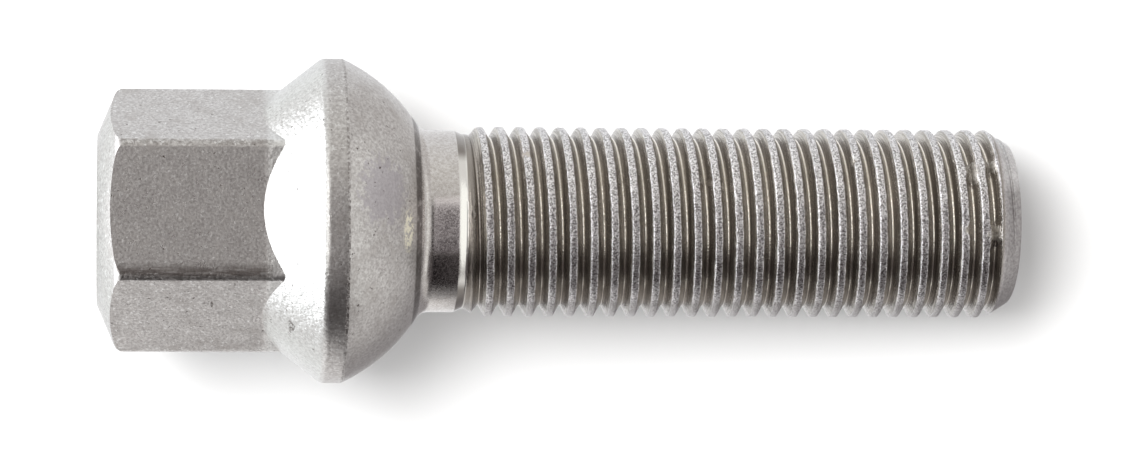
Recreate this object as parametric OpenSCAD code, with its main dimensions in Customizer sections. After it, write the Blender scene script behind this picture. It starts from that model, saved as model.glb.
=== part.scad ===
// Wheel bolt with a ball seat, forged in one piece, with a rolled M14 x 1.5 right-hand thread.
// It stands on its head: Z runs along the bolt from the head's end face at z = 0 to the tip,
// and a flat of the hexagon faces -Y.

/* [Hexagon head] */
// Size across the flats, for a 17 mm socket
hex_across_flats = 16.8; // [16.5:0.05:17.2]
// Length of a flat's middle line, from the end face to the flare
hex_length = 11.8; // [8:0.05:16]
// Radius along the hexagon's six upright edges
hex_edge_radius = 0.8; // [0.4:0.1:1.6]
// Diameter of the flat end face inside the crowned chamfer
end_face_d = 12.3; // [9:0.1:13.5]
// Angle of the crowned chamfer, measured from the end face
crown_angle = 23; // [15:1:30]
// Radius where the crowned chamfer turns over onto the upright edges
crown_radius = 0.9; // [0.3:0.1:1.2]

/* [Flare and rim] */
// Angle of the flare that widens from the hexagon to the rim, measured from the axis
flare_angle = 38; // [32:0.5:45]
// Diameter of the rim, the widest place of the bolt
rim_d = 23.6; // [22:0.1:25]
// Width of the rim's cylindrical band
rim_width = 1.5; // [0.9:0.05:3]
// Radius on the rim's two edges
rim_edge_radius = 0.6; // [0.2:0.05:0.7]

/* [Ball seat] */
// Radius of the ball that seats in the wheel's countersink
seat_radius = 13; // [12:0.5:14]
// Radius where the ball seat runs into the neck
seat_fillet = 1.1; // [0.5:0.1:1.5]

/* [Neck and shank] */
// Diameter of the plain neck, which is the blank that the thread is rolled from
neck_d = 13.25; // [12.9:0.05:13.4]
// Length of the plain neck, from the end of the ball seat to the thread
neck_length = 3; // [2:0.05:10]
// Width of the small bevel at the neck's end
neck_bevel = 0.3; // [0.1:0.05:0.4]
// Length of neck and thread together, from the end of the ball seat to the tip
shank_length = 43.45; // [25:0.05:46]

/* [Thread] */
// Thread size over the crests before the clearance is taken off
thread_d = 14; // [13.9:0.05:14]
// Clearance that a rolled thread has under its nominal size, on the diameter
thread_clearance = 0.14; // [0.05:0.01:0.25]
// Axial distance from one crest to the next
thread_pitch = 1.5; // [1.25:0.25:2]
// Depth from crest to root as a share of the pitch
thread_depth_ratio = 0.54; // [0.52:0.01:0.6]
// Axial width of the crest's flat top
crest_width = 0.45; // [0.2:0.05:0.5]
// Axial length over which the first turns rise out of the blank
runout_length = 1.3; // [1:0.1:3]
// Height of the first crest over the end of the neck, at the +X side
first_crest_height = 0.44; // [0:0.01:1.4]
// Straight facets in one turn of the thread
thread_segments = 30; // [24:2:32]

/* [Tip] */
// Diameter of the flat face at the tip
tip_d = 11.6; // [10.5:0.1:12]
// Axial length of the tip's chamfer
tip_chamfer = 1.8; // [1:0.1:3]
// Radius on the edge of the tip's flat face
tip_edge_radius = 0.5; // [0.2:0.1:0.8]

/* [Hidden] */
// Smoothness of round forms
round_fn = 120;
// Small length by which cutting shapes reach past what they cut
reach = 1;
// Included angle of a metric thread's flanks
flank_angle = 60;
// Narrowest root that a deep or fine thread keeps
least_root_width = 0.05;
// How far the crowned blank stands outside the hexagon's rounded edges
crown_clearance = 0.03;
// How far the flare's cone is carried on inside the hexagon
flare_bury = 2;
// Spare turns of the threaded rod below the neck's end and past the tip
spare_turns = 3;

// Unit vector at an angle in the plane
function unit(angle) = [cos(angle), sin(angle)];

// Height of a ball's surface over its centre, at a distance from the axis: none past its edge
function ball_rise(radius, distance) = sqrt(max(0, pow(radius, 2) - pow(distance, 2)));

// Hexagon
apothem = hex_across_flats / 2;
edge_centre_r = (apothem - hex_edge_radius) / cos(30);
hex_corner_r = edge_centre_r + hex_edge_radius;

// Flare, rim and ball seat, each as a height above the end face
rim_r = rim_d / 2;
rim_start_z = hex_length + (rim_r - apothem) / tan(flare_angle);
flare_start_z = hex_length - flare_bury / tan(flare_angle);
rim_end_z = rim_start_z + rim_width;
ball_z = rim_end_z - ball_rise(seat_radius, rim_r);
neck_r = neck_d / 2;
seat_end_z = ball_z + ball_rise(seat_radius, neck_r);

// Neck, thread and tip
neck_end_z = seat_end_z + neck_length;
tip_z = seat_end_z + shank_length;
crest_r = (thread_d - thread_clearance) / 2;
thread_depth = thread_depth_ratio * thread_pitch;
root_r = crest_r - thread_depth;
blank_r = neck_r - neck_bevel / 2;
core_r = neck_r - neck_bevel;
tip_r = tip_d / 2;

// Widths in one turn of the thread: the flat crest, one flank, and what is left for the root
widest_flank = (thread_pitch - crest_width - least_root_width) / 2;
flank_width = min(widest_flank, thread_depth * tan(flank_angle / 2));
root_width = thread_pitch - crest_width - 2 * flank_width;

// Outline of the hexagon: straight flats joined by true arcs at the six edges
module hex_outline() {
    polygon([
        for (corner = [0:60:300])
            for (side = [-30, 30])
                edge_centre_r * unit(corner) + hex_edge_radius * unit(corner + side)
    ]);
    for (corner = [0:60:300])
        translate(edge_centre_r * unit(corner))
            circle(r = hex_edge_radius, $fn = round_fn);
}

// Half section of the crowned blank that limits the hexagon at its end face
module crown_section() {
    crown_r = hex_corner_r + crown_clearance;
    crown_z = (crown_r - end_face_d / 2) * tan(crown_angle);
    // The rounding circle touches both the chamfer and the upright wall
    round_x = crown_r - crown_radius;
    round_z = crown_z + crown_radius * (1 / cos(crown_angle) - tan(crown_angle));
    chamfer_touch = [round_x, round_z] + crown_radius * unit(crown_angle - 90);
    difference() {
        polygon([
            [0, 0],
            [end_face_d / 2, 0],
            [crown_r, crown_z],
            [crown_r, rim_start_z],
            [0, rim_start_z]
        ]);
        difference() {
            polygon([chamfer_touch, [crown_r + reach, crown_z - reach], [crown_r, round_z]]);
            translate([round_x, round_z])
                circle(r = crown_radius, $fn = round_fn);
        }
    }
}

// Hexagon with its crowned end
module hexagon_head() {
    intersection() {
        linear_extrude(height = rim_start_z)
            hex_outline();
        rotate_extrude($fn = round_fn)
            crown_section();
    }
}

// Cuts the edge between the flare and the rim to a round one
module flare_edge_cut() {
    turn = flare_angle / 2;
    touch = rim_edge_radius * tan(turn);
    centre = [rim_r - rim_edge_radius, rim_start_z + touch];
    flare_touch = centre + rim_edge_radius * unit(-flare_angle);
    difference() {
        polygon([flare_touch, [rim_r + reach, rim_start_z - reach * tan(turn)], [rim_r, centre[1]]]);
        translate(centre)
            circle(r = rim_edge_radius, $fn = round_fn);
    }
}

// Cuts the edge between the rim and the ball seat to a round one
module seat_edge_cut() {
    inner = seat_radius - rim_edge_radius;
    centre_x = rim_r - rim_edge_radius;
    centre_up = ball_rise(inner, centre_x);
    centre = [centre_x, ball_z + centre_up];
    seat_touch = [0, ball_z] + seat_radius / inner * [centre_x, centre_up];
    difference() {
        polygon([[rim_r, centre[1]], [rim_r + reach, rim_end_z + reach], seat_touch]);
        translate(centre)
            circle(r = rim_edge_radius, $fn = round_fn);
    }
}

// Fills the corner between the ball seat and the neck with a hollow fillet
module neck_fillet() {
    outer = seat_radius + seat_fillet;
    centre_x = neck_r + seat_fillet;
    centre_up = ball_rise(outer, centre_x);
    centre = [centre_x, ball_z + centre_up];
    seat_touch = [0, ball_z] + seat_radius / outer * [centre_x, centre_up];
    difference() {
        polygon([
            [core_r, seat_touch[1]],
            seat_touch,
            [neck_r, centre[1]],
            [core_r, centre[1]]
        ]);
        translate(centre)
            circle(r = seat_fillet, $fn = round_fn);
    }
}

// Half section from the flare to the end of the neck
module collar_section() {
    difference() {
        union() {
            polygon([
                [0, flare_start_z],
                [apothem - flare_bury, flare_start_z],
                [rim_r, rim_start_z],
                [rim_r, rim_end_z],
                [0, rim_end_z]
            ]);
            intersection() {
                translate([0, ball_z])
                    circle(r = seat_radius, $fn = 2 * round_fn);
                translate([0, rim_start_z + rim_width / 2])
                    square([rim_r, seat_end_z - rim_start_z]);
            }
            polygon([
                [0, rim_end_z],
                [neck_r, rim_end_z],
                [neck_r, neck_end_z - neck_bevel],
                [core_r, neck_end_z],
                [0, neck_end_z]
            ]);
            neck_fillet();
        }
        flare_edge_cut();
        seat_edge_cut();
    }
}

// Flare, rim, ball seat and neck, turned as one
module collar() {
    rotate_extrude($fn = round_fn)
        collar_section();
}

// One turn of the thread as axial offsets from the crest's middle, each with its radius
turn_profile = [
    [-crest_width / 2, crest_r],
    [crest_width / 2, crest_r],
    [crest_width / 2 + flank_width, root_r],
    [crest_width / 2 + flank_width + root_width, root_r]
];

// Share of the full thread form at a height: none at the neck, all of it past the run-out
function thread_share(z) = min(1, max(0, (z - neck_end_z) / runout_length));

// Radius at a height where the full thread would have the given radius
function rolled_r(full_r, z) = blank_r + (full_r - blank_r) * thread_share(z);

// Threaded rod, longer than the thread at both ends: a helical grid of points closed by a fan
// of facets on each end
module threaded_rod() {
    per_turn = len(turn_profile);
    turns = ceil((shank_length - neck_length) / thread_pitch) + spare_turns + 1;
    rows = turns * per_turn;
    low_z = neck_end_z + first_crest_height - spare_turns * thread_pitch;
    points = [
        for (column = [0:thread_segments - 1])
            for (row = [0:rows])
                let (
                    step = turn_profile[row % per_turn],
                    z = low_z + thread_pitch * (floor(row / per_turn) + column / thread_segments) + step[0],
                    r = rolled_r(step[1], z)
                )
                [r * cos(360 * column / thread_segments), r * sin(360 * column / thread_segments), z]
    ];
    bottom = len(points);
    top = bottom + 1;
    // Point of a column and row, where the column after the last is the first, one pitch higher
    function at(column, row) = column < thread_segments
        ? column * (rows + 1) + row
        : row + per_turn;
    sides = [
        for (column = [0:thread_segments - 1])
            for (row = [0:rows - 1])
                if (column < thread_segments - 1 || row < rows - per_turn)
                    for (
                        facet = [
                            [at(column, row), at(column, row + 1), at(column + 1, row + 1)],
                            [at(column, row), at(column + 1, row + 1), at(column + 1, row)]
                        ]
                    )
                        facet
    ];
    ends = [
        for (column = [0:thread_segments - 2])
            for (facet = [
                [bottom, at(column, 0), at(column + 1, 0)],
                [top, at(column + 1, rows), at(column, rows)]
            ])
                facet
    ];
    last = thread_segments - 1;
    step_faces = [
        [bottom, at(last, 0), at(0, per_turn)],
        for (row = [0:per_turn - 1])
            [bottom, at(0, row + 1), at(0, row)],
        [top, at(0, rows), at(last, rows - per_turn)],
        for (row = [rows - per_turn:rows - 1])
            [top, at(last, row), at(last, row + 1)]
    ];
    polyhedron(
        points = concat(points, [[0, 0, low_z], [0, 0, low_z + thread_pitch * turns]]),
        faces = concat(sides, ends, step_faces)
    );
}

// Half section of the room that the thread fills, with the tip's chamfer and its rounded edge
module thread_room_section() {
    slope = atan((crest_r - tip_r) / tip_chamfer);
    touch = tip_edge_radius * tan((90 - slope) / 2);
    centre = [tip_r - touch, tip_z - tip_edge_radius];
    difference() {
        polygon([
            [0, neck_end_z - neck_bevel],
            [crest_r + reach, neck_end_z - neck_bevel],
            [crest_r + reach, tip_z - tip_chamfer - reach / tan(slope)],
            [tip_r, tip_z],
            [0, tip_z]
        ]);
        difference() {
            polygon([
                centre + tip_edge_radius * unit(slope),
                [tip_r + reach, tip_z + reach],
                [centre[0], tip_z]
            ]);
            translate(centre)
                circle(r = tip_edge_radius, $fn = round_fn);
        }
    }
}

// Thread from the end of the neck to the chamfered tip
module threaded_shank() {
    intersection() {
        threaded_rod();
        rotate_extrude($fn = round_fn)
            thread_room_section();
    }
}

module wheel_bolt() {
    color("silver")
        union() {
            hexagon_head();
            collar();
            threaded_shank();
        }
}

wheel_bolt();
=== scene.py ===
"""Wheel bolt, forged in one piece, thread-rolled and zinc plated.

The bolt is modelled in millimetres, standing on its head, and brought to metres as its last step.
Photo directions: the image's right is along the bolt to its tip, and the image's up is near -X.
"""

import math

import bmesh
import bpy
from mathutils import Matrix, Vector, noise as uneven


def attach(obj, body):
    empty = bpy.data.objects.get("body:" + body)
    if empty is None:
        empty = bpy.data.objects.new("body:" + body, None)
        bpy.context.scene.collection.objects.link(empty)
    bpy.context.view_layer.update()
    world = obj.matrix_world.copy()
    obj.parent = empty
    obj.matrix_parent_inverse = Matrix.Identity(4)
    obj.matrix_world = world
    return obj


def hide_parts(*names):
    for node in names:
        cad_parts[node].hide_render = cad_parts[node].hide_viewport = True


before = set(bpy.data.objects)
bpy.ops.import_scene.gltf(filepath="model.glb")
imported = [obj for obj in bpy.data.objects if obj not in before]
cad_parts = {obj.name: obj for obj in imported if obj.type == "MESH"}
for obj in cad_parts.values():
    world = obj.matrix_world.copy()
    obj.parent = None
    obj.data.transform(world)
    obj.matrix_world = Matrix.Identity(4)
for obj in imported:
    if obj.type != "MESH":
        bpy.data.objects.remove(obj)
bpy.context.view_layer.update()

MM = 0.001

# Bolt, in millimetres, as the construction has it
ACROSS_FLATS = 16.8
HEX_LENGTH = 11.8
HEX_EDGE_RADIUS = 0.8
END_FACE_R = 6.15
CROWN_ANGLE = math.radians(23)
CROWN_RADIUS = 0.9
FLARE_ANGLE = math.radians(38)
RIM_R = 11.8
RIM_WIDTH = 1.5
RIM_EDGE_RADIUS = 0.6
SEAT_RADIUS = 13.0
SEAT_FILLET = 1.1
NECK_R = 6.625
NECK_LENGTH = 3.0
NECK_BEVEL = 0.3
SHANK_LENGTH = 43.45
CREST_R = 6.93
PITCH = 1.5
THREAD_DEPTH = 0.81
CREST_WIDTH = 0.45
RUNOUT = 1.3
FIRST_CREST = 0.44
TIP_R = 5.8
TIP_CHAMFER = 1.8
TIP_EDGE_RADIUS = 0.5

APOTHEM = ACROSS_FLATS / 2
ROOT_R = CREST_R - THREAD_DEPTH
RIM_START = HEX_LENGTH + (RIM_R - APOTHEM) / math.tan(FLARE_ANGLE)
RIM_END = RIM_START + RIM_WIDTH
BALL_Z = RIM_END - math.sqrt(SEAT_RADIUS**2 - RIM_R**2)
SEAT_END = BALL_Z + math.sqrt(SEAT_RADIUS**2 - NECK_R**2)
NECK_END = SEAT_END + NECK_LENGTH
TIP = SEAT_END + SHANK_LENGTH

# Softened and worn forms that only the looks have, in millimetres
FLARE_EDGE_RADIUS = 0.9
CROWN_EDGE_WIDTH = 0.34
FLARE_LINE_WIDTH = 0.75
BEVEL_BEFORE_NECK_END = 0.53
BEVEL_STEP_UP = 0.145
BEVEL_STEP_IN = 0.065
BLANK_R = NECK_R - 0.27
CREST_SWAY = 0.045
CREST_WEAR = 0.02

# Burrs that bridge the grooves, and dents in the crests: height, degrees round from -Y, size and rise
BURR_R = 6.5
BURRS = [
    (63.15, 30, 0.6, 0.6), (63.35, 24, 0.36, 0.5), (64.55, 35, 0.5, 0.6), (64.6, -12, 0.6, 0.55),
    (37.43, 23, 0.24, 0.4), (43.45, 22, 0.26, 0.4), (44.88, 18, 0.22, 0.35),
]
DENTS = [
    (30.84, 40, 0.32, -0.25), (54.6, 36, 0.3, -0.2), (62.75, -9, 0.34, -0.28),
    (48.0, -28, 0.3, -0.18), (39.2, 7, 0.28, -0.16),
]

# Places on the head: two nicks, and on the ball seat a painted purplish reflection patch and painted glints
FLAT_NICK = (6.57, -5.43, 8.2)
FLARE_NICK = (8.08, -5.91, 13.86)
PAINTED_REFLECTION_AT = (-1.25, -10.13, 20.24)
PAINTED_GLINTS_AT = (1.5, -8.3, 22.05)

# Steps round a turned form and round a turn of the thread, how deep the collar starts inside the
# hexagon, and the angle from which an edge counts as sharp
SPIN_STEPS = 180
THREAD_STEPS = 180
BURIED = 2.5
SHARP = math.radians(12)


# Modelling
def take(obj):
    """Makes one object the only selected one."""
    if bpy.context.mode != "OBJECT":
        bpy.ops.object.mode_set(mode="OBJECT")
    bpy.ops.object.select_all(action="DESELECT")
    obj.select_set(True)
    bpy.context.view_layer.objects.active = obj


def edit(obj, kind="VERT"):
    """Opens one object for editing, with nothing selected in it."""
    take(obj)
    bpy.ops.object.mode_set(mode="EDIT")
    bpy.ops.mesh.select_mode(type=kind)
    bpy.ops.mesh.select_all(action="DESELECT")
    return bmesh.from_edit_mesh(obj.data)


def clean(obj, merge=0.002):
    """Merges doubles and turns the faces outwards."""
    edit(obj)
    bpy.ops.mesh.select_all(action="SELECT")
    bpy.ops.mesh.remove_doubles(threshold=merge)
    bpy.ops.mesh.normals_make_consistent(inside=False)
    bpy.ops.object.mode_set(mode="OBJECT")


def apply(obj, kind, **settings):
    """Adds a modifier and applies it."""
    take(obj)
    modifier = obj.modifiers.new(kind.lower(), kind)
    for key, value in settings.items():
        setattr(modifier, key, value)
    bpy.ops.object.modifier_apply(modifier=modifier.name)


def join_solid(body, other, operation):
    """Unites, cuts or intersects two closed solids, and keeps the first."""
    apply(body, "BOOLEAN", operation=operation, object=other, solver="EXACT")
    bpy.data.objects.remove(other)
    clean(body)


def outline(name, points):
    """Draws a half section in the XZ plane by extruding one vertex from point to point."""
    bpy.ops.mesh.primitive_plane_add(size=1)
    obj = bpy.context.object
    obj.name = name
    edit(obj)
    bpy.ops.mesh.select_all(action="SELECT")
    bpy.ops.mesh.merge(type="CENTER")
    x, z = points[0]
    bpy.ops.transform.translate(value=(x, 0, z))
    for (x0, z0), (x1, z1) in zip(points, points[1:]):
        bpy.ops.mesh.extrude_region_move(TRANSFORM_OT_translate={"value": (x1 - x0, 0, z1 - z0)})
    bpy.ops.object.mode_set(mode="OBJECT")
    return obj


def arc(centre, radius, start, end, steps):
    """Points of an arc, from one angle to another."""
    angles = [start + (end - start) * step / steps for step in range(steps + 1)]
    return [(centre[0] + radius * math.cos(a), centre[1] + radius * math.sin(a)) for a in angles]


def turned(obj):
    """Spins a half section once round the bolt's axis and closes it."""
    edit(obj)
    bpy.ops.mesh.select_all(action="SELECT")
    bpy.ops.mesh.spin(steps=SPIN_STEPS, angle=2 * math.pi, center=(0, 0, 0), axis=(0, 0, 1))
    bpy.ops.object.mode_set(mode="OBJECT")
    clean(obj)
    return obj


def bevel_edges(obj, chosen, width, segments):
    """Rounds the edges that the test picks."""
    mesh = edit(obj, "EDGE")
    for edge in mesh.edges:
        edge.select = len(edge.link_faces) == 2 and chosen(edge)
    mesh.select_flush_mode()
    bmesh.update_edit_mesh(obj.data)
    bpy.ops.mesh.bevel(offset=width, segments=segments, profile=0.5, affect="EDGES", clamp_overlap=True)
    bpy.ops.object.mode_set(mode="OBJECT")
    clean(obj)


def height(edge):
    """Height of an edge's middle."""
    return (edge.verts[0].co.z + edge.verts[1].co.z) / 2


# Pieces
def hexagon():
    """Hexagonal head with its crowned, chamfered end."""
    top = RIM_START - 0.3
    bpy.ops.mesh.primitive_cylinder_add(
        vertices=6, radius=APOTHEM / math.cos(math.radians(30)), depth=top,
        location=(0, 0, top / 2), rotation=(0, 0, math.radians(30)))
    body = bpy.context.object
    body.name = "hexagon"
    bpy.ops.object.transform_apply(location=True, rotation=True, scale=True)
    upright = HEX_EDGE_RADIUS * math.tan(math.radians(30))
    bevel_edges(body, lambda e: abs(e.verts[0].co.z - e.verts[1].co.z) > HEX_LENGTH / 2, upright, 8)
    reach = (APOTHEM - HEX_EDGE_RADIUS) / math.cos(math.radians(30)) + HEX_EDGE_RADIUS + 0.03
    rise = (reach - END_FACE_R) * math.tan(CROWN_ANGLE)
    lift = CROWN_RADIUS * (1 / math.cos(CROWN_ANGLE) - math.tan(CROWN_ANGLE))
    centre = (reach - CROWN_RADIUS, rise + lift)
    points = [(0, 0), (END_FACE_R, 0)]
    points += arc(centre, CROWN_RADIUS, CROWN_ANGLE - math.pi / 2, 0, 10)
    points += [(reach, RIM_START), (0, RIM_START)]
    join_solid(body, turned(outline("crown", points)), "INTERSECT")
    return body


def collar():
    """Flare, rim, ball seat, fillet and neck, turned from one half section."""
    turn = FLARE_ANGLE / 2
    flare_centre = (RIM_R - FLARE_EDGE_RADIUS, RIM_START + FLARE_EDGE_RADIUS * math.tan(turn))
    inner = SEAT_RADIUS - RIM_EDGE_RADIUS
    seat_centre = (RIM_R - RIM_EDGE_RADIUS, BALL_Z + math.sqrt(inner**2 - (RIM_R - RIM_EDGE_RADIUS) ** 2))
    outer = SEAT_RADIUS + SEAT_FILLET
    fillet_centre = (NECK_R + SEAT_FILLET, BALL_Z + math.sqrt(outer**2 - (NECK_R + SEAT_FILLET) ** 2))
    rim_turn = math.atan2(seat_centre[1] - BALL_Z, seat_centre[0])
    neck_turn = math.atan2(fillet_centre[1] - BALL_Z, fillet_centre[0])
    start = HEX_LENGTH - BURIED / math.tan(FLARE_ANGLE)
    points = [(0, start), (APOTHEM - BURIED, start)]
    points += arc(flare_centre, FLARE_EDGE_RADIUS, -FLARE_ANGLE, 0, 6)
    points += arc(seat_centre, RIM_EDGE_RADIUS, 0, rim_turn, 5)
    points += arc((0, BALL_Z), SEAT_RADIUS, rim_turn, neck_turn, 28)[1:]
    points += arc(fillet_centre, SEAT_FILLET, math.pi + neck_turn, math.pi, 7)[1:]
    points += [(NECK_R, NECK_END - 0.6)]
    for step in range(5):
        up = NECK_END - BEVEL_BEFORE_NECK_END + BEVEL_STEP_UP * step
        points.append((NECK_R - 0.02 - BEVEL_STEP_IN * step, up))
    points += [(0, NECK_END + 0.06)]
    return turned(outline("collar", points))


def on_thread(level, degrees, radius):
    """Point at a height, with its angle counted from the -Y side towards -X."""
    angle = math.radians(degrees)
    return Vector((-radius * math.sin(angle), -radius * math.cos(angle), level))


def wear_thread(rod):
    """Fades the thread into the blank at the neck, and gives its crests burrs, dents and some sway."""
    marks = [(on_thread(level, turn, BURR_R), size, rise) for level, turn, size, rise in BURRS]
    marks += [(on_thread(level, turn, CREST_R), size, rise) for level, turn, size, rise in DENTS]
    for vertex in rod.data.vertices:
        share = min(1, max(0, (vertex.co.z - NECK_END) / RUNOUT))
        share = share * share * (3 - 2 * share)
        reach = math.hypot(vertex.co.x, vertex.co.y)
        edge = min(1, max(0, (reach - CREST_R + 0.2) / 0.12))
        if vertex.co.y < -4:
            for place, size, rise in marks:
                away = (vertex.co - place).length / size
                if away < 2:
                    lump = rise * math.exp(-away * away) * (0.7 + 0.6 * uneven.noise(vertex.co * 5))
                    reach = min(CREST_R, reach + lump)
        vertex.co.z += CREST_SWAY * edge * uneven.noise(vertex.co * 2.3)
        reach += CREST_WEAR * edge * (uneven.noise(vertex.co * 1.7) - 1)
        factor = (BLANK_R + (reach - BLANK_R) * share) / math.hypot(vertex.co.x, vertex.co.y)
        vertex.co.x *= factor
        vertex.co.y *= factor


def threaded_rod():
    """Rolled thread: one turn's profile, screwed up the shank and cut to its tip's chamfered form."""
    half = THREAD_DEPTH * math.tan(math.radians(30))
    side = CREST_WIDTH / 2
    root = side + half
    profile = [
        (CREST_R, 0), (CREST_R, side - 0.06), (CREST_R - 0.013, side - 0.014), (CREST_R - 0.045, side + 0.02),
        (CREST_R - 0.1, side + 0.057), (ROOT_R + 0.13, root - 0.075), (ROOT_R + 0.05, root - 0.022),
        (ROOT_R + 0.012, root + 0.02), (ROOT_R, PITCH / 2),
    ]
    mirrored = [(x, PITCH - z) for x, z in reversed(profile[:-1])]
    turns = math.ceil((SHANK_LENGTH - NECK_LENGTH) / PITCH) + 4
    low = NECK_END + FIRST_CREST - 3 * PITCH
    rod = outline("thread", [(x, z + low) for x, z in profile + mirrored])
    apply(rod, "SCREW", screw_offset=PITCH, iterations=turns, steps=THREAD_STEPS, render_steps=THREAD_STEPS,
          angle=2 * math.pi, axis="Z", use_merge_vertices=True, merge_threshold=0.001)
    clean(rod, 0.001)
    wear_thread(rod)
    for cut, side in ((NECK_END - NECK_BEVEL, -1), (TIP + 0.5, 1)):
        edit(rod)
        bpy.ops.mesh.select_all(action="SELECT")
        bpy.ops.mesh.bisect(plane_co=(0, 0, cut), plane_no=(0, 0, side), use_fill=True, clear_outer=True)
        bpy.ops.object.mode_set(mode="OBJECT")
    clean(rod, 0.001)
    edit(rod)
    bpy.ops.mesh.select_all(action="SELECT")
    bpy.ops.mesh.quads_convert_to_tris()
    bpy.ops.object.mode_set(mode="OBJECT")
    slope = math.atan2(CREST_R - TIP_R, TIP_CHAMFER)
    touch = TIP_EDGE_RADIUS * math.tan((math.pi / 2 - slope) / 2)
    centre = (TIP_R - touch, TIP - TIP_EDGE_RADIUS)
    wide = CREST_R + 1
    points = [(0, NECK_END - 1), (wide, NECK_END - 1), (wide, TIP - TIP_CHAMFER - 1 / math.tan(slope))]
    points += arc(centre, TIP_EDGE_RADIUS, slope, math.pi / 2, 5)
    points += [(0, TIP)]
    join_solid(rod, turned(outline("tip form", points)), "INTERSECT")
    return rod


def crown_edge(edge):
    """Edge between the crown and a flat."""
    low = min(vertex.co.z for vertex in edge.verts)
    return edge.calc_face_angle(0) > SHARP and height(edge) < HEX_LENGTH / 3 and low > 0.2


def flare_line(edge):
    """Edge between a flat and the flare."""
    return edge.calc_face_angle(0) > SHARP and HEX_LENGTH - 1 < height(edge) < RIM_START - 1


def wheel_bolt(finish):
    """The whole bolt as one closed mesh."""
    body = hexagon()
    join_solid(body, collar(), "UNION")
    bevel_edges(body, crown_edge, CROWN_EDGE_WIDTH, 5)
    bevel_edges(body, flare_line, FLARE_LINE_WIDTH, 6)
    join_solid(body, threaded_rod(), "UNION")
    take(body)
    bpy.ops.transform.resize(value=(MM, MM, MM), center_override=(0, 0, 0))
    bpy.ops.object.transform_apply(location=True, rotation=True, scale=True)
    bpy.ops.object.shade_smooth_by_angle(angle=math.radians(32))
    apply(body, "WEIGHTED_NORMAL", keep_sharp=True, weight=60)
    body.name = "wheel_bolt_forging"
    body.data.name = body.name
    body.data.materials.clear()
    body.data.materials.append(finish)
    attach(body, "root")
    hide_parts("wheel_bolt")
    return body


# Materials
SMOOTH = {"interpolation_type": "SMOOTHSTEP"}
COLOURS = {"data_type": "RGBA"}
ADD = {"operation": "ADD"}
SUBTRACT = {"operation": "SUBTRACT"}
MULTIPLY = {"operation": "MULTIPLY"}
DIVIDE = {"operation": "DIVIDE"}
MAXIMUM = {"operation": "MAXIMUM"}
LENGTH = {"operation": "LENGTH"}
SCALE = {"operation": "SCALE"}
DOT = {"operation": "DOT_PRODUCT"}


def srgb(code):
    """Linear colour of an sRGB hex code."""
    parts = [int(code[i:i + 2], 16) / 255 for i in (0, 2, 4)]
    return tuple(p / 12.92 if p <= 0.04045 else ((p + 0.055) / 1.055) ** 2.4 for p in parts) + (1.0,)


def add(tree, kind, settings, *values, **named):
    """Adds a node with its settings, fills its inputs in order or by name, and gives its first output."""
    node = tree.nodes.new("ShaderNode" + kind)
    for key, value in settings.items():
        setattr(node, key, value)
    inputs = list(zip([socket for socket in node.inputs if socket.enabled], values))
    inputs += [(node.inputs[key.replace("_", " ")], value) for key, value in named.items()]
    for socket, value in inputs:
        if isinstance(value, bpy.types.NodeSocket):
            tree.links.new(value, socket)
        else:
            socket.default_value = value
    outputs = [socket for socket in node.outputs if socket.enabled]
    return outputs[0] if outputs else None


def new_material(name):
    """Empty node material."""
    material = bpy.data.materials.new(name)
    material.use_nodes = True
    material.node_tree.nodes.clear()
    return material, material.node_tree


def product(tree, first, *others):
    """Where several shares hold at once."""
    for other in others:
        first = add(tree, "Math", MULTIPLY, first, other)
    return first


def where(tree, *limits):
    """How far several measures have each passed from one value to another, as one share."""
    return product(tree, *[add(tree, "MapRange", SMOOTH, *limit) for limit in limits])


def layered(tree, colour, layers):
    """Lays colours over a first one, each by its own share."""
    for share, tint in layers:
        colour = add(tree, "Mix", COLOURS, share, colour, tint)
    return colour


def spot(tree, place, centre, size, uneven_edge):
    """1 in one small ragged spot on the surface."""
    away = add(tree, "VectorMath", SUBTRACT, place, tuple(centre))
    away = add(tree, "VectorMath", LENGTH, add(tree, "VectorMath", DIVIDE, away, size))
    return add(tree, "MapRange", SMOOTH, add(tree, "Math", ADD, away, uneven_edge), 1.7, 1.2)


def band(tree, level, low, high, soft):
    """1 between two heights along the bolt, and 0 outside them."""
    return where(tree, (level, low - soft, low), (level, high + soft, high))


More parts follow.
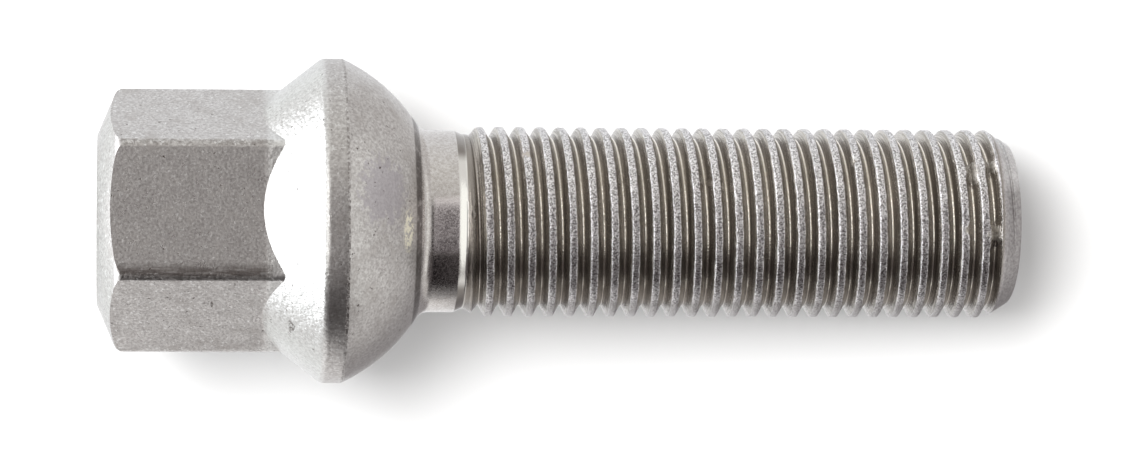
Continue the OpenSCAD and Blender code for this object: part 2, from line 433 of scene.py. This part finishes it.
def zinc_plated_steel():
    """Forged steel with a thin bright zinc plating: rough on the head, smooth where it was rolled."""
    material, tree = new_material("zinc_plated_forged_steel")
    coordinates = add(tree, "TexCoord", {}).node.outputs
    facing = add(tree, "SeparateXYZ", {}, coordinates["Normal"]).node.outputs["Z"]

    # Places are in millimetres, so each noise's scale is one over the size of its features
    place = add(tree, "VectorMath", SCALE, coordinates["Object"], 1 / MM)
    x, y, z = add(tree, "SeparateXYZ", {}, place).node.outputs
    reach = add(tree, "VectorMath", LENGTH, add(tree, "CombineXYZ", {}, x, y))
    grain = add(tree, "TexNoise", {}, place, 1 / 0.2, 3.0, 0.65)
    fine = add(tree, "TexNoise", {}, place, 1 / 0.12, 2.0, 0.7)
    coarse = add(tree, "TexNoise", {}, place, 1 / 0.5, 3.0, 0.6)
    mottle = add(tree, "TexNoise", {}, place, 1 / 1.6, 5.0, 0.65)
    speckle = add(tree, "TexNoise", {}, place, 1 / 0.3, 3.0, 0.7)
    fleck_noise = add(tree, "TexNoise", {}, place, 1 / 0.28, 2.0, 0.6)
    pit_noise = add(tree, "TexNoise", {}, place, 1 / 0.45, 4.0, 0.7)
    stretched = add(tree, "VectorMath", MULTIPLY, place, (1, 1, 0.14))
    shade_streaks = add(tree, "TexNoise", {}, stretched, 1 / 0.22, 3.0, 0.6)

    # Rolled stretches: neck, bevel, thread and tip
    rolled = add(tree, "MapRange", SMOOTH, z, SEAT_END - 0.6, SEAT_END)
    threaded = add(tree, "MapRange", SMOOTH, z, NECK_END, NECK_END + 0.12)
    neck = product(tree, rolled, add(tree, "Math", SUBTRACT, 1.0, threaded))
    bevel = add(tree, "MapRange", SMOOTH, z, NECK_END - 0.6, NECK_END - 0.53)
    bevel = add(tree, "Math", SUBTRACT, bevel, threaded)
    tip = add(tree, "MapRange", SMOOTH, z, TIP - TIP_CHAMFER + 0.2, TIP - TIP_CHAMFER + 0.7)
    ragged = add(tree, "Math", {"operation": "MULTIPLY_ADD"}, speckle, 0.16, -0.08)
    uneven_reach = add(tree, "Math", ADD, reach, ragged)
    crest = add(tree, "MapRange", SMOOTH, uneven_reach, CREST_R - 0.14, CREST_R - 0.06)
    crest = add(tree, "Math", MAXIMUM, product(tree, crest, threaded), tip)
    root = add(tree, "MapRange", SMOOTH, reach, ROOT_R + 0.05, ROOT_R + 0.02)
    root = product(tree, root, add(tree, "Math", SUBTRACT, threaded, tip))
    flank = add(tree, "Math", SUBTRACT, add(tree, "Math", SUBTRACT, threaded, crest), root)
    streaks = add(tree, "VectorMath", SCALE, place, 1 / 4)
    across = add(tree, "CombineXYZ", {}, product(tree, reach, 1 / 0.07))
    lines = add(tree, "TexNoise", {}, add(tree, "VectorMath", ADD, streaks, across), 1.0, 1.0)

    # Forged stretches: hexagon, flare, rim and ball seat
    forged = add(tree, "Math", SUBTRACT, 1.0, rolled)
    pits = product(tree, add(tree, "MapRange", SMOOTH, pit_noise, 0.35, 0.3), forged)
    flecks = product(tree, add(tree, "MapRange", SMOOTH, fleck_noise, 0.6, 0.68), forged)
    flare = band(tree, z, HEX_LENGTH + 0.6, RIM_START - 0.2, 0.6)
    rim = band(tree, z, RIM_START + 0.2, RIM_END - 0.15, 0.15)
    seat = band(tree, z, RIM_END + 0.2, SEAT_END - 0.6, 0.3)

    # Worn edges, and painted shade in a streaky band along the lower edge of the hexagon's front flat
    edge_left = add(tree, "MapRange", SMOOTH, x, -1, 1, 0.75, 0.45)
    hexagon_edge = add(tree, "MapRange", SMOOTH, reach, 9.5, 9.55)
    hexagon_edge = product(tree, hexagon_edge, band(tree, z, 0.6, 12.4, 0.2), edge_left)
    rim_edge = band(tree, z, RIM_END - 0.06, RIM_END + 0.04, 0.08)
    worn = add(tree, "Math", MAXIMUM, hexagon_edge, rim_edge)
    worn = product(tree, worn, add(tree, "MapRange", SMOOTH, speckle, 0.54, 0.46))
    # Painted shade: a streaky dark band along the lower edge of the front flat
    painted_edge_shade = where(tree, (x, 3.6, 4.45), (y, -8.27, -8.35), (shade_streaks, 0.3, 0.58, 0.35, 1.0))
    painted_edge_shade = product(tree, painted_edge_shade, band(tree, z, 0.4, 12.3, 0.2))
    # Painted shade in the crease of the fillet between the ball seat and the neck
    fillet_shade = band(tree, z, SEAT_END - 0.65, SEAT_END - 0.35, 0.15)
    fillet_shade = product(tree, fillet_shade, add(tree, "MapRange", SMOOTH, coarse, 0.1, 0.5))

    # Small marks, and a painted reflection patch and painted glints on the ball seat
    edge_noise = add(tree, "MapRange", SMOOTH, coarse, 0.3, 0.7, -0.6, 0.6)
    burr = 0.0
    for level, turn, size, _ in BURRS:
        spread = (size * 0.75, size * 0.75, size * 0.6)
        one_burr = spot(tree, place, on_thread(level, turn, BURR_R), spread, edge_noise)
        burr = add(tree, "Math", MAXIMUM, one_burr, burr)
    nick = add(tree, "Math", MAXIMUM, spot(tree, place, FLAT_NICK, (0.22, 0.34, 0.07), edge_noise),
               spot(tree, place, FLARE_NICK, (0.36, 0.46, 0.14), edge_noise))
    nick = product(tree, nick, add(tree, "MapRange", SMOOTH, grain, 0.35, 0.55))
    # Painted purplish reflection patch and painted bright glints on the ball seat
    painted_reflection_patch = spot(tree, place, PAINTED_REFLECTION_AT, (1.6, 1.4, 1.3), edge_noise)
    painted_glints = spot(tree, place, PAINTED_GLINTS_AT, (1.1, 0.9, 0.3), edge_noise)
    painted_glints = product(tree, painted_glints, add(tree, "MapRange", SMOOTH, coarse, 0.42, 0.55))

    # Painted shade on the lower and upper sides of the bevel, roots and thread, on the flanks that face the
    # tip and in the run-out; the crests' edges; a painted highlight and painted shade on the neck
    # Masks of painted shade: the lower side, and the bevel's upper and lower sides
    lower_side_shade = add(tree, "MapRange", SMOOTH, x, 4.6, 5.4)
    shaded = add(tree, "Math", MAXIMUM, lower_side_shade, add(tree, "MapRange", SMOOTH, x, -3.7, -4.7))
    # Painted shade on the lowest side of the thread
    lowest_thread_shade = add(tree, "MapRange", SMOOTH, x, 5.9, 6.3)
    # Painted shade on the thread flanks that face the tip
    tip_facing_flank_shade = add(tree, "MapRange", SMOOTH, facing, 0.2, 0.6, 0.0, 0.6)
    # Painted shade in the thread's run-out by the neck
    runout_shade = band(tree, z, NECK_END + 0.12, NECK_END + 0.6, 0.25)
    runout_shade = product(tree, runout_shade, add(tree, "Math", SUBTRACT, 1.0, crest))
    lip = product(tree, crest, add(tree, "MapRange", SMOOTH, reach, CREST_R - 0.012, CREST_R - 0.03))
    # Painted highlight along the middle of the neck
    painted_neck_highlight = where(tree, (x, 3.1, 2.5), (x, -1.4, -0.7), (z, SEAT_END + 0.4, SEAT_END + 0.8))
    painted_neck_highlight = product(tree, neck, painted_neck_highlight)
    # Painted shade: a dark reflection patch on the lower side of the neck
    painted_neck_shade = where(tree, (x, 2.7, 3.4), (x, 5.3, 4.7), (z, SEAT_END + 0.3, SEAT_END + 0.7))
    painted_neck_shade = product(tree, neck, painted_neck_shade)

    tone = add(tree, "MapRange", SMOOTH, grain, 0.3, 0.7)
    forged_tint = add(tree, "Mix", COLOURS, tone, srgb("A7A3A1"), srgb("D0CECC"))
    # Paler, bluish tint over the whole flare: a painted highlight
    flare_highlight_tint = add(tree, "Mix", COLOURS, tone, srgb("D2D3D1"), srgb("F0F1F0"))
    rolled_tint = add(tree, "Mix", COLOURS, tone, srgb("B4AFAB"), srgb("D0CDCB"))
    # Lit and shaded copies of the tip's colour: the tip chamfer is painted paler above and darker below
    tip_lit_tint = add(tree, "Mix", COLOURS, tone, srgb("BDBBBB"), srgb("E2E1E1"))
    tip_shaded_tint = add(tree, "Mix", COLOURS, tone, srgb("8B8787"), srgb("B4B1B1"))
    tip_lit_and_shaded_tint = add(tree, "Mix", COLOURS, add(tree, "MapRange", SMOOTH, x, -2.9, -1.4), tip_lit_tint, tip_shaded_tint)
    burr_tint = add(tree, "Mix", COLOURS, tone, srgb("8E8881"), srgb("DCD8D1"))
    # Tones of the neck's painted dark reflection patch
    neck_shade_share = add(tree, "MapRange", SMOOTH, fine, 0.4, 0.6)
    neck_shade_tint = add(tree, "Mix", COLOURS, neck_shade_share, srgb("453F3F"), srgb("A9A3A3"))
    line_share = add(tree, "MapRange", SMOOTH, lines, 0.35, 0.65)
    flank_tint = add(tree, "Mix", COLOURS, line_share, srgb("938D86"), srgb("C3BDB6"))
    crest_share = add(tree, "MapRange", SMOOTH, fine, 0.38, 0.6)
    crest_tint = add(tree, "Mix", COLOURS, crest_share, srgb("7E7A7A"), srgb("F1EFF0"))
    colour = layered(tree, forged_tint, [
        (product(tree, add(tree, "MapRange", SMOOTH, mottle, 0.5, 0.7), 0.4), srgb("A39D99")),
        (product(tree, flecks, add(tree, "Mix", {}, seat, 0.7, 0.3)), srgb("E6E6E5")),
        # painted highlight: the flare made paler
        (product(tree, flare, 0.55), flare_highlight_tint),
        (rolled, rolled_tint),
        # painted highlight along the neck's middle
        (product(tree, painted_neck_highlight, 0.95), srgb("FBF5F5")),
        # painted shade low on the neck
        (product(tree, painted_neck_shade, 0.7), neck_shade_tint),
        (flank, flank_tint),
        # painted shade on the flanks that face the tip
        (product(tree, flank, tip_facing_flank_shade), srgb("6A645E")),
        # painted shade in the run-out
        (product(tree, runout_shade, 0.6), srgb("68625C")),
        # painted highlight along the roots, then painted shade on their lower side
        (root, srgb("F0EBE2")),
        (product(tree, root, lower_side_shade), srgb("9C958E")),
        (crest, crest_tint),
        # painted shade on the lowest side of the thread
        (product(tree, threaded, lowest_thread_shade, 0.5), srgb("6E6968")),
        # tip painted paler above and darker below
        (tip, tip_lit_and_shaded_tint),
        (product(tree, rim, 0.1), srgb("837D7B")),
        # painted reflection patch, then painted glints, on the seat
        (product(tree, painted_reflection_patch, 0.6), srgb("A9A4AA")),
        (painted_glints, srgb("FBF8E6")),
        (product(tree, burr, 0.8), burr_tint),
        # painted highlight along the bevel, then painted shade on its upper and lower sides
        (bevel, srgb("E8E7E2")),
        (product(tree, bevel, shaded), srgb("8C8782")),
        (product(tree, nick, 0.8), srgb("5D5550")),
        (product(tree, worn, 0.5), srgb("5D5550")),
        # painted shade low on the front flat
        (product(tree, painted_edge_shade, 0.75), srgb("524944")),
        # painted shade in the fillet's crease
        (product(tree, fillet_shade, 0.82), srgb("4A4340")),
        (pits, srgb("5D5550")),
    ])

    rough = add(tree, "MapRange", SMOOTH, mottle, 0.3, 0.7, 0.27, 0.36)
    neck_rough = add(tree, "MapRange", SMOOTH, fine, 0.35, 0.65, 0.14, 0.3)
    for share, value in ((rim, 0.35), (rolled, 0.2), (neck, neck_rough), (crest, 0.32), (root, 0.16),
                         (bevel, 0.16), (burr, 0.5)):
        rough = add(tree, "Mix", {}, share, rough, value)

    neck_texture = add(tree, "Mix", {}, neck, 1.4, 0.3)
    crest_texture = add(tree, "Mix", {}, lip, 0.7, 2.2)
    texture = product(tree, fine, add(tree, "Mix", {}, crest, neck_texture, crest_texture))
    deep = add(tree, "Mix", {}, rolled, add(tree, "Math", ADD, grain, coarse), texture)
    for raised in ((flank, lines), (flare, coarse, 2.4), (burr, grain, 2.5)):
        deep = add(tree, "Math", ADD, deep, product(tree, *raised))
    for sunk in (nick, pits, worn):
        deep = add(tree, "Math", SUBTRACT, deep, sunk)
    bump = add(tree, "Bump", {}, Strength=0.6, Distance=0.03 * MM, Height=deep)
    shader = add(tree, "BsdfPrincipled", {}, Base_Color=colour, Metallic=1.0, Roughness=rough, Normal=bump)
    add(tree, "OutputMaterial", {}, shader)
    return material


# Staging
AZIMUTH = math.radians(5.2)
LEAN = math.radians(5.96)
ROLL = math.radians(0.25)
CAMERA_DISTANCE = 314.7
FOCAL_PIXELS = 4300
IMAGE_WIDTH = 1148
AIM_ALONG = 34.70
AIM_UP = -0.74
WHITE = (1, 1, 1, 1)
FLOOR_SIZE = 4
BACKDROP_ASIDE = 200
BACKDROP_SIZE = (0.45, 0.6)
KEY_SIZE = 0.2
KEY_POWER = 2.4

toward = Vector((math.sin(AZIMUTH), -math.cos(AZIMUTH), 0))
photo_up = Vector((-math.cos(AZIMUTH), -math.sin(AZIMUTH), 0))
along = Vector((0, 0, 1))
photo_right = along * math.cos(LEAN) + toward * math.sin(LEAN)
photo_back = toward * math.cos(LEAN) - along * math.sin(LEAN)


def camera():
    """Camera over the photo's table, with the bolt's head at the left."""
    data = bpy.data.cameras.new("camera")
    data.sensor_width = 36
    data.lens = FOCAL_PIXELS / IMAGE_WIDTH * data.sensor_width
    data.clip_start = 0.01
    data.clip_end = 10
    obj = bpy.data.objects.new("camera", data)
    bpy.context.scene.collection.objects.link(obj)
    right = photo_right * math.cos(ROLL) + photo_up * math.sin(ROLL)
    up = photo_up * math.cos(ROLL) - photo_right * math.sin(ROLL)
    place = (along * AIM_ALONG + photo_up * AIM_UP + photo_back * CAMERA_DISTANCE) * MM
    axes = Matrix((right, up, photo_back)).transposed().to_4x4()
    obj.matrix_world = Matrix.Translation(place) @ axes
    bpy.context.scene.camera = obj


def round_the_bolt(tree, ray, stops):
    """Colours by the angle round the bolt's axis: 0 towards the camera, positive up the photo."""
    height_up = add(tree, "VectorMath", DOT, ray, photo_up)
    angle = add(tree, "Math", {"operation": "ARCTAN2"}, height_up, add(tree, "VectorMath", DOT, ray, toward))
    share = add(tree, "MapRange", {}, angle, -math.pi, math.pi)
    colours = add(tree, "ValToRGB", {}, share)
    ends = colours.node.color_ramp.elements
    while len(ends) < len(stops):
        ends.new(0.5)
    for end, (degrees, colour) in zip(ends, stops):
        end.position = (degrees + 180) / 360
        end.color = colour
    return colours


def studio():
    """White tent: soft boxes left and right, a grey room over the camera, and a dark gap below it."""
    world = bpy.data.worlds.new("studio")
    bpy.context.scene.world = world
    world.use_nodes = True
    tree = world.node_tree
    tree.nodes.clear()
    ray = add(tree, "TexCoord", {}).node.outputs["Generated"]
    table = (1.16, 1.14, 1.13, 1)
    dim = (0.36, 0.35, 0.35, 1)
    gap = (0.04, 0.034, 0.036, 1)
    room = (0.47, 0.445, 0.44, 1)
    wall = (0.56, 0.53, 0.53, 1)
    tent = (0.84, 0.82, 0.79, 1)
    white = (1.05, 1.06, 1.08, 1)
    roof = (0.98, 0.97, 0.94, 1)
    side = (0.8, 0.78, 0.77, 1)
    shade = (0.11, 0.1, 0.1, 1)
    passage = (0.33, 0.31, 0.31, 1)
    under_table = (0.14, 0.125, 0.125, 1)
    far_wall = (0.4, 0.38, 0.385, 1)
    right_light = (1.22, 1.22, 1.19, 1)
    back_light = (1.14, 1.18, 1.17, 1)
    near_light = (3.0, 3.0, 2.95, 1)
    left_front = (1.3, 1.33, 1.35, 1)
    left_back = (0.85, 0.87, 0.89, 1)
    box_front = (3.8, 3.9, 4.0, 1)
    box_back = (1.7, 1.72, 1.74, 1)

    def ring(front, low, edge, start, first, last):
        """Colours round the axis: the front's, the table's edge, where the front and the tent begin."""
        return round_the_bolt(tree, ray, [
            (-180, white), (-125, table), (edge, low), (-90, gap), (start - 12, gap), (start, front),
            (first, front), (last, tent), (max(70, last + 5), roof), (130, white), (180, white),
        ])

    lengthwise = add(tree, "VectorMath", DOT, ray, along)
    up = add(tree, "VectorMath", DOT, ray, photo_up)
    front = add(tree, "VectorMath", DOT, ray, toward)
    reach = add(tree, "Math", {"operation": "ABSOLUTE"}, lengthwise)
    underside = where(tree, (up, -0.45, -0.6), (reach, 0.72, 0.6), (reach, 0.15, 0.3), (front, -0.1, 0.15))
    colour = layered(tree, ring(room, table, -96, -37, 17, 42), [
        (where(tree, (lengthwise, 0.03, 0.065)), ring(wall, dim, -112, -37, 15, 85)),
        (where(tree, (lengthwise, 0.078, 0.095)), ring(passage, dim, -112, -24, 8, 46)),
        (where(tree, (lengthwise, 0.1, 0.17)), ring(shade, dim, -112, -20, 16, 32)),
        (where(tree, (reach, 0.4, 0.48)), side),
        (underside, under_table),
        (where(tree, (front, -0.35, -0.65), (up, 0.1, -0.15), (lengthwise, 0.12, 0.25)), far_wall),
    ])

    # Soft boxes: one at the right, a pale one behind the head, and a tall one at the left with a near one
    right = where(tree, (lengthwise, 0.66, 0.74), (lengthwise, 0.92, 0.82), (up, 0.68, 0.56),
                  (up, -0.8, -0.65), (front, -0.15, 0.1))
    back = where(tree, (lengthwise, -0.26, -0.4), (front, -0.55, -0.72))
    left = add(tree, "Math", MAXIMUM, where(tree, (front, 0.4, 0.2)), where(tree, (lengthwise, -0.8, -0.92)))
    left = product(tree, left, where(tree, (lengthwise, -0.6, -0.82)))
    behind = where(tree, (front, -0.4, -0.55))
    tall = where(tree, (up, -0.56, -0.44), (up, 0.68, 0.56))
    near = where(tree, (lengthwise, -0.32, -0.4), (lengthwise, -0.6, -0.52), (front, 0.5, 0.65))
    colour = layered(tree, colour, [
        (right, right_light),
        (back, back_light),
        (left, add(tree, "Mix", COLOURS, behind, left_front, left_back)),
        (product(tree, left, tall), add(tree, "Mix", COLOURS, behind, box_front, box_back)),
        (product(tree, near, tall), near_light),
        (add(tree, "LightPath", {}), WHITE),
    ])
    add(tree, "OutputWorld", {}, add(tree, "Background", {}, colour, 1.0))


def lamp(name, place, size, power):
    """Square soft box that looks at the bolt's middle."""
    data = bpy.data.lights.new(name, "AREA")
    data.shape = "SQUARE"
    data.size = size
    data.energy = power
    obj = bpy.data.objects.new(name, data)
    bpy.context.scene.collection.objects.link(obj)
    target = Vector((0, 0, TIP / 2)) * MM
    obj.location = place
    obj.rotation_mode = "QUATERNION"
    obj.rotation_quaternion = (target - place).to_track_quat("-Z", "Y")
    obj.visible_camera = False
    obj.visible_glossy = False


def paper(name, grey, glow_strength, one_sided):
    """White matt paper that shows as white and keeps the bolt's shadow."""
    material, tree = new_material(name)
    sheet = add(tree, "BsdfDiffuse", {}, (grey, grey, grey, 1))
    both = add(tree, "AddShader", {}, sheet, add(tree, "Emission", {}, WHITE, glow_strength))
    surface = add(tree, "MixShader", {}, add(tree, "LightPath", {}), sheet, both)
    if one_sided:
        behind = add(tree, "NewGeometry", {}).node.outputs["Backfacing"]
        surface = add(tree, "MixShader", {}, behind, surface, add(tree, "BsdfTransparent", {}))
    add(tree, "OutputMaterial", {}, surface)
    return material


def staging():
    """Pale floor under the head, and the photo's table behind the bolt."""
    bpy.ops.mesh.primitive_plane_add(size=FLOOR_SIZE)
    floor = bpy.context.object
    floor.name = "floor"
    floor.data.materials.append(paper("floor_paper", 0.6, 0.9, False))
    bpy.ops.mesh.primitive_plane_add(size=1)
    wall = bpy.context.object
    wall.name = "backdrop"
    wall.data.materials.append(paper("backdrop_paper", 0.5, 0.185, True))
    axes = Matrix((photo_right, photo_up, photo_back)).transposed().to_4x4()
    rim_middle = (RIM_START + RIM_END) / 2
    touch = along * rim_middle - toward * RIM_R
    depth = touch.dot(photo_back)
    middle = photo_back * depth + photo_right * BACKDROP_ASIDE
    wall.matrix_world = Matrix.Translation(middle * MM) @ axes @ Matrix.Diagonal((*BACKDROP_SIZE, 1, 1))
    for sheet in (floor, wall):
        sheet.visible_diffuse = False
        sheet.visible_glossy = False
        sheet.visible_transmission = False
        sheet.visible_shadow = False


wheel_bolt(zinc_plated_steel())
camera()
studio()
staging()
key = (photo_back * 320 - along * 85 + photo_up * 70) * MM
lamp("soft_box", key, KEY_SIZE, KEY_POWER)
bpy.context.scene.view_settings.view_transform = "Standard"
